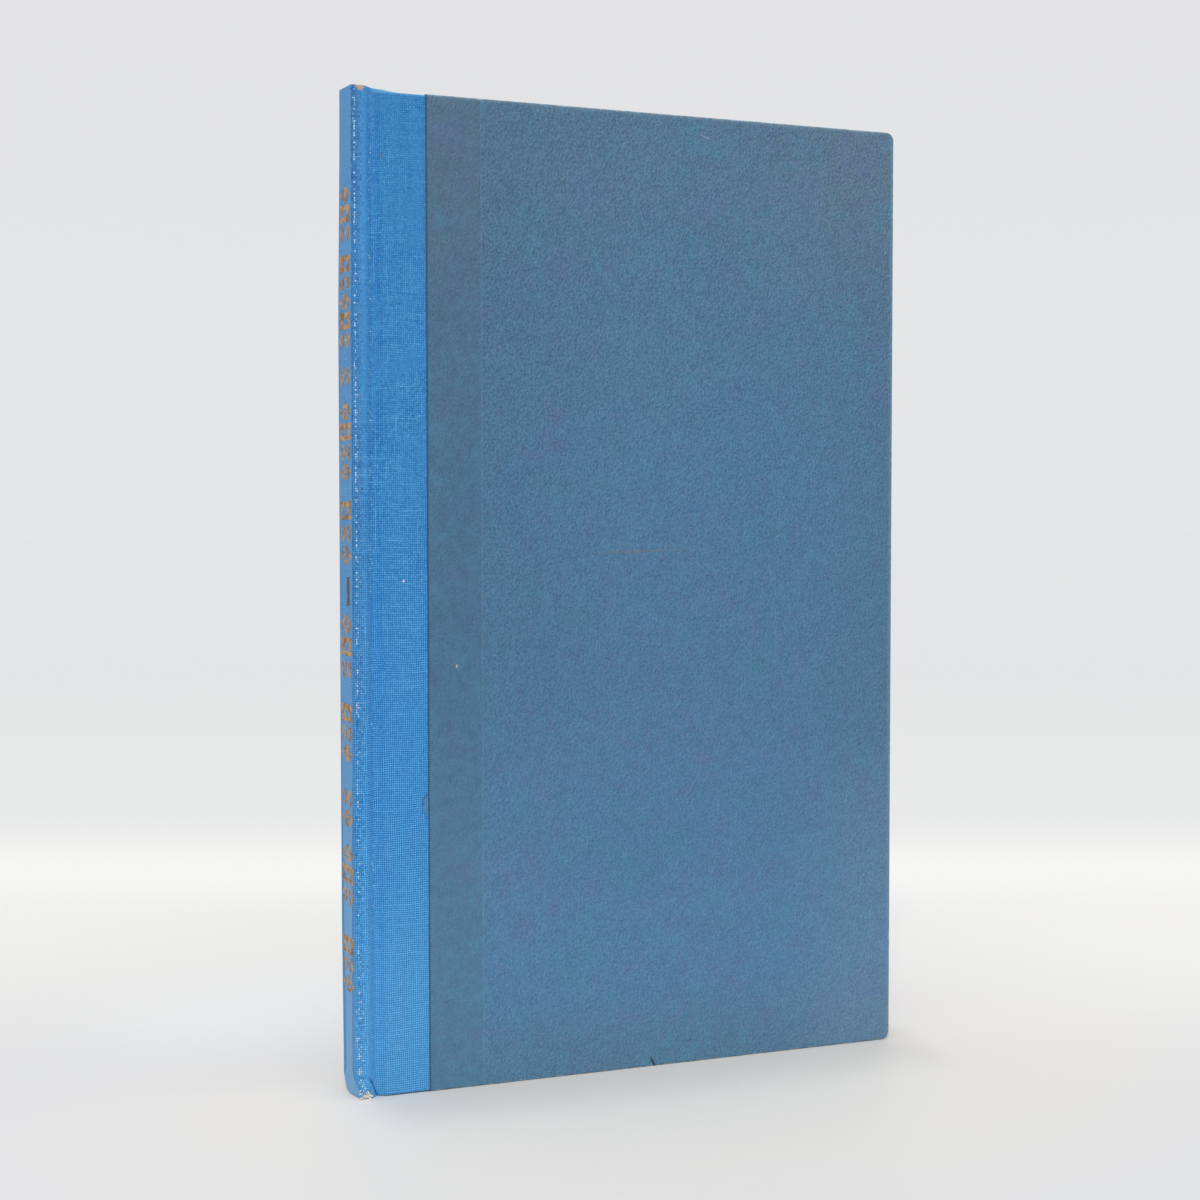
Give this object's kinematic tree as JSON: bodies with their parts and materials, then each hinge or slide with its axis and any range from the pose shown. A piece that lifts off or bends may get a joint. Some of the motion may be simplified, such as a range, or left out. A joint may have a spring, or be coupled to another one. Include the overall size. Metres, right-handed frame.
{
  "type": "hardback book",
  "caption": "Slim quarter-bound hardback book with cloth spine, paper sides and hinged covers, standing closed on its tail edge.",
  "frame": {"origin": "under the middle of the closed book, on the surface it stands on", "axes": "+X from the spine to the fore edge, +Y from the front cover to the back cover, +Z from tail to head"},
  "size_m": [0.1356, 0.0126, 0.2227],
  "materials": {
    "book_cloth": "plain-weave blue book cloth, matt",
    "side_paper": "grained blue-grey cover paper, slight sheen",
    "pages": "aged uncoated paper, cut edges",
    "endpaper": "aged uncoated paper",
    "board": "strawboard",
    "card": "plain card",
    "mull": "open cotton gauze set in glue"
  },
  "bodies": {
    "root": {"text_block": "pages", "spine_mull": "mull", "spine_card": "card", "spine_cloth": "book_cloth", "front_flyleaf": "endpaper", "back_flyleaf": "endpaper"},
    "front_cover": {"front_board": "board", "front_mull": "mull", "front_cloth": "book_cloth", "front_paper": "side_paper", "front_pastedown": "endpaper"},
    "back_cover": {"back_board": "board", "back_mull": "mull", "back_cloth": "book_cloth", "back_paper": "side_paper", "back_pastedown": "endpaper"}
  },
  "joints": [
    {"name": "front_cover_hinge", "type": "hinge", "parent": "root", "child": "front_cover", "pos_m": [-0.0626, -0.0062, 0.111], "axis": [0, 0, -1], "range_deg": [0, 165]},
    {"name": "back_cover_hinge", "type": "hinge", "parent": "root", "child": "back_cover", "pos_m": [-0.0626, 0.0062, 0.111], "axis": [0, 0, 1], "range_deg": [0, 165]}
  ]
}
